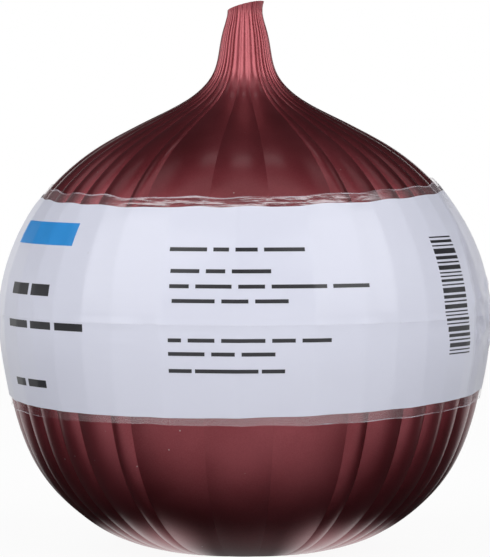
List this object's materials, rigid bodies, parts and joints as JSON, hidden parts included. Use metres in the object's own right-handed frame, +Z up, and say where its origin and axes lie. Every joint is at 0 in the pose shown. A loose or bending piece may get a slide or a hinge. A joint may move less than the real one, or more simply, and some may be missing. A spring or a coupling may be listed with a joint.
{
  "type": "onion keeper",
  "caption": "Round food keeper shaped like an onion: a ribbed bowl and a ribbed domed lid with a stem, a seal ring between them, a twist lock, and a printed film band round the middle.",
  "frame": {"origin": "middle of the foot, on the surface that the keeper stands on", "axes": "+Z up through the stem, -Y towards the side that the picture shows, +X to its right"},
  "size_m": [0.1146, 0.1146, 0.127],
  "materials": {
    "skin_plastic": "dark red pearly moulded plastic with a satin gloss",
    "seal": "soft pale rubber",
    "film": "thin glossy film, printed white between clear edges"
  },
  "bodies": {
    "bowl_half": {"bowl": "skin_plastic", "film_lower": "film"},
    "seal": {"seal_ring": "seal"},
    "lid_half": {"lid": "skin_plastic", "film_upper": "film"}
  },
  "joints": [
    {"name": "lid_lift", "type": "slide", "parent": "bowl_half", "child": "seal", "axis": [0, 0, 1], "range_m": [0, 0.08]},
    {"name": "lid_turn", "type": "hinge", "parent": "seal", "child": "lid_half", "pos_m": [0, 0, 0.055], "axis": [0, 0, 1], "range_deg": [-37, 0]}
  ]
}
